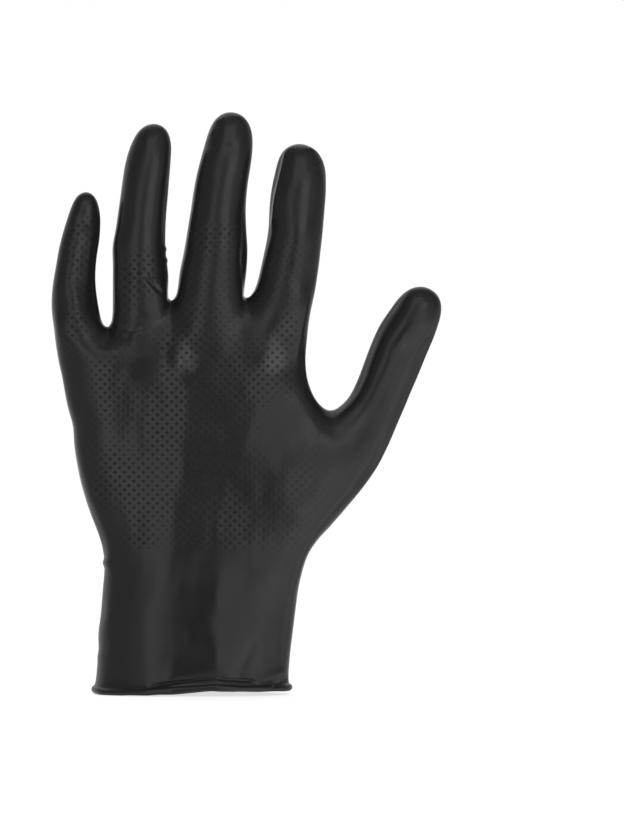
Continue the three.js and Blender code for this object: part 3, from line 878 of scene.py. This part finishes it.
def make_camera():
    data = bpy.data.cameras.new("photo_camera")
    data.lens = SENSOR_MM * CAMERA_DISTANCE / (PHOTO_ROWS * PHOTO_ROW_MM * MM)
    data.sensor_width = SENSOR_MM
    data.clip_end = 100
    camera = bpy.data.objects.new("photo_camera", data)
    camera.location = (PICTURE_MIDDLE[0] * MM, -CAMERA_DISTANCE, PICTURE_MIDDLE[1] * MM)
    camera.rotation_euler = (math.pi / 2, 0, 0)
    bpy.context.collection.objects.link(camera)
    bpy.context.scene.camera = camera


def band(nodes, turn, start, end, strength):
    """The strength of a band of turns, which fades in over its start and out over its end."""
    rise = nodes.spread(turn, math.radians(start[0]), math.radians(start[1]), 0.0, strength)
    fall = nodes.spread(turn, math.radians(end[0]), math.radians(end[1]), 1.0, 0.0)
    return nodes.math("MULTIPLY", rise, fall)


def surroundings(nodes):
    """How bright the surroundings are in each direction: a dark gap round the camera, a dim side on its left
    and right, the brighter backdrop behind the glove and a bright table low on the right."""
    direction = nodes.add("ShaderNodeTexCoord").outputs["Generated"]
    parts = nodes.add("ShaderNodeSeparateXYZ", {"Vector": direction})
    height = parts.outputs["Z"]
    turn = nodes.math("ARCTAN2", parts.outputs["X"], nodes.math("MULTIPLY", parts.outputs["Y"], -1.0))

    # The dark gap
    edges = [math.radians(angle) for angle in GAP_TURN]
    gap = nodes.spread(nodes.math("ABSOLUTE", turn), *edges, 1.0, 0.0)
    gap = nodes.math("MULTIPLY", gap, nodes.spread(height, *GAP_TOP, 1.0, 0.0))
    gap = nodes.math("MULTIPLY", gap, nodes.spread(height, *GAP_BOTTOM, GAP_SHARE_BELOW, 1.0))
    gap = nodes.math("SUBTRACT", 1.0, nodes.math("MULTIPLY", gap, GAP_DEPTH))

    # The grey in front and the backdrop, both dimmed at the sides
    front = nodes.math("MULTIPLY", nodes.spread(height, 0.0, HIGH_FROM, HORIZON_GREY, HIGH_GREY), gap)
    backdrop = nodes.spread(parts.outputs["Y"], *BACKDROP_FADE, 0.0, BACKDROP_GREY)
    dim = nodes.math("ADD", band(nodes, turn, **DIM_RIGHT), band(nodes, turn, **DIM_LEFT))
    grey = nodes.math("MULTIPLY", nodes.math("MAXIMUM", front, backdrop), nodes.math("SUBTRACT", 1.0, dim))

    # The bright table
    table = nodes.math("MULTIPLY", band(nodes, turn, **TABLE), nodes.spread(height, *TABLE_TOP, 1.0, 0.0))
    return nodes.math("ADD", grey, table)


def make_world():
    """A white backdrop for the camera, and grey surroundings for everything else."""
    world = bpy.data.worlds.new("studio")
    bpy.context.scene.world = world
    world.use_nodes = True
    nodes = Nodes(world)
    around = nodes.add("ShaderNodeBackground", {"Color": (1, 1, 1, 1), "Strength": surroundings(nodes)})
    white = nodes.add("ShaderNodeBackground", {"Color": (1, 1, 1, 1), "Strength": 1.0})
    path = nodes.add("ShaderNodeLightPath")
    mix = nodes.add("ShaderNodeMixShader", {0: path.outputs["Is Camera Ray"], 1: around.outputs[0],
                                            2: white.outputs[0]})
    world.node_tree.links.new(mix.outputs[0], world.node_tree.nodes["World Output"].inputs["Surface"])


class GLOVE_OT_make_stage(bpy.types.Operator):
    """Makes the plain pale floor, the light panels, the surroundings and the camera"""
    bl_idname = "glove.make_stage"
    bl_label = "Make stage"

    def execute(self, context):
        look = context.scene.glove_stage_look
        bpy.ops.object.select_all(action="DESELECT")
        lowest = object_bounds()[0][2]
        bpy.ops.mesh.primitive_circle_add(vertices=96, radius=FLOOR_RADIUS, fill_type="NGON",
                                          location=(0, 0, lowest - FLOOR_GAP * MM))
        floor = context.active_object
        floor.name = "floor"
        bpy.ops.object.transform_apply(location=True, rotation=True, scale=True)
        floor.data.materials.append(floor_material(look))
        floor.visible_glossy = False
        floor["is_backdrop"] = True
        for panel in PANELS:
            light_panel(**panel, brightness=getattr(look, panel["name"]))
        make_world()
        make_camera()
        context.scene.view_settings.view_transform = "Standard"
        return {"FINISHED"}


class GLOVE_PT_panel(bpy.types.Panel):
    bl_label = "Worn nitrile glove"
    bl_space_type = "VIEW_3D"
    bl_region_type = "UI"
    bl_category = "Glove"

    def draw(self, context):
        layout = self.layout
        for group in (context.scene.glove_film_sizes, context.scene.glove_film_finish,
                      context.scene.glove_stage_look):
            for name in group.bl_rna.properties.keys():
                if name not in {"rna_type", "name"}:
                    layout.prop(group, name)
        for operator in OPERATORS:
            layout.operator(operator.bl_idname)


OPERATORS = (GLOVE_OT_make_film, GLOVE_OT_make_stage)
CLASSES = (FilmSizes, FilmFinish, StageLook, *OPERATORS, GLOVE_PT_panel)
SETTINGS = {"glove_film_sizes": FilmSizes, "glove_film_finish": FilmFinish, "glove_stage_look": StageLook}


def register():
    for item in CLASSES:
        bpy.utils.register_class(item)
    for name, group in SETTINGS.items():
        setattr(bpy.types.Scene, name, PointerProperty(type=group))


def unregister():
    for name in SETTINGS:
        delattr(bpy.types.Scene, name)
    for item in reversed(CLASSES):
        bpy.utils.unregister_class(item)


def main():
    register()
    bpy.ops.glove.make_film()
    bpy.ops.glove.make_stage()


if __name__ == "__main__":
    main()
